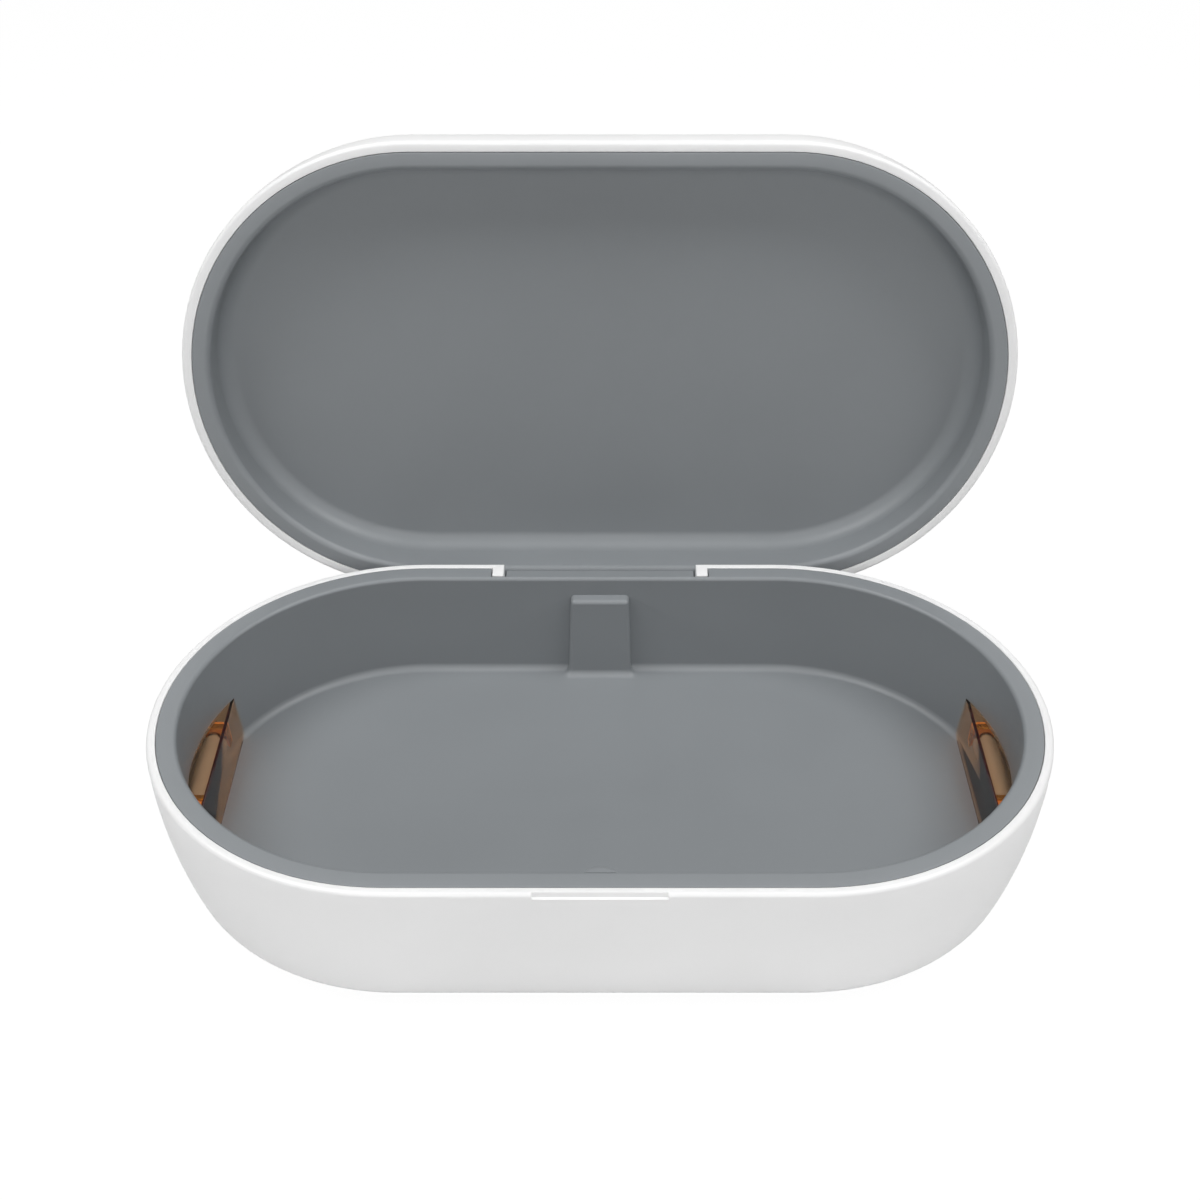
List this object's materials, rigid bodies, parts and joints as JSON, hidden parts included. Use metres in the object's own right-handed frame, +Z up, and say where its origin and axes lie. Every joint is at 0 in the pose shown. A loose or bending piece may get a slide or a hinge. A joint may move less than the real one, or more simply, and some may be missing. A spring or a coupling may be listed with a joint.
{
  "type": "uv sanitizer box",
  "caption": "Obround clamshell box that cleans a phone with lamps behind amber end covers, lid standing open on a back hinge",
  "frame": {"origin": "under the middle of the base, in the plane of its four feet", "axes": "+X along the box's length to the right, +Y to the hinge at the back, +Z up"},
  "size_m": [0.2124, 0.1563, 0.1495],
  "materials": {
    "white_shell": "satin",
    "grey_liner": "satin",
    "button_cap": "satin",
    "amber_cover": "clear",
    "lamp_glass": "clear",
    "lamp_holder": "matte",
    "foot_pad": "matte",
    "steel": "plain",
    "socket_metal": "plain",
    "magnet": "plated",
    "capacitor_can": "plain",
    "board": "solder mask",
    "black_plastic": "matte"
  },
  "bodies": {
    "base": {"base_shell": "white_shell", "base_liner": "grey_liner", "bottom_cover": "white_shell", "foot_back_left": "foot_pad", "foot_back_right": "foot_pad", "foot_front_left": "foot_pad", "foot_front_right": "foot_pad", "cover_screw_back_left": "steel", "cover_screw_back_right": "steel", "cover_screw_front_left": "steel", "cover_screw_front_right": "steel", "main_board": "board", "board_screw_left": "steel", "board_screw_right": "steel", "usb_c_socket": "socket_metal", "power_switch": "black_plastic", "lamp_transformer": "black_plastic", "smoothing_capacitor": "capacitor_can", "lid_sensor": "black_plastic", "hinge_pin": "steel", "left_lamp_cover": "amber_cover", "left_lamp_tube": "lamp_glass", "left_lamp_holder_front": "lamp_holder", "left_lamp_holder_back": "lamp_holder", "right_lamp_cover": "amber_cover", "right_lamp_tube": "lamp_glass", "right_lamp_holder_front": "lamp_holder", "right_lamp_holder_back": "lamp_holder"},
    "lid": {"lid_shell": "white_shell", "lid_liner": "grey_liner", "lid_magnet": "magnet"},
    "button": {"power_button": "button_cap"}
  },
  "joints": [
    {"name": "lid_hinge", "type": "hinge", "parent": "base", "child": "lid", "pos_m": [0, 0.0573, 0.0335], "axis": [1, 0, 0], "range_deg": [0, 96.9]},
    {"name": "power_button_push", "type": "slide", "parent": "base", "child": "button", "axis": [0, -1, 0], "range_m": [0, 0.0005], "stiffness_N_per_m": 400, "springref_m": -0.0005}
  ]
}
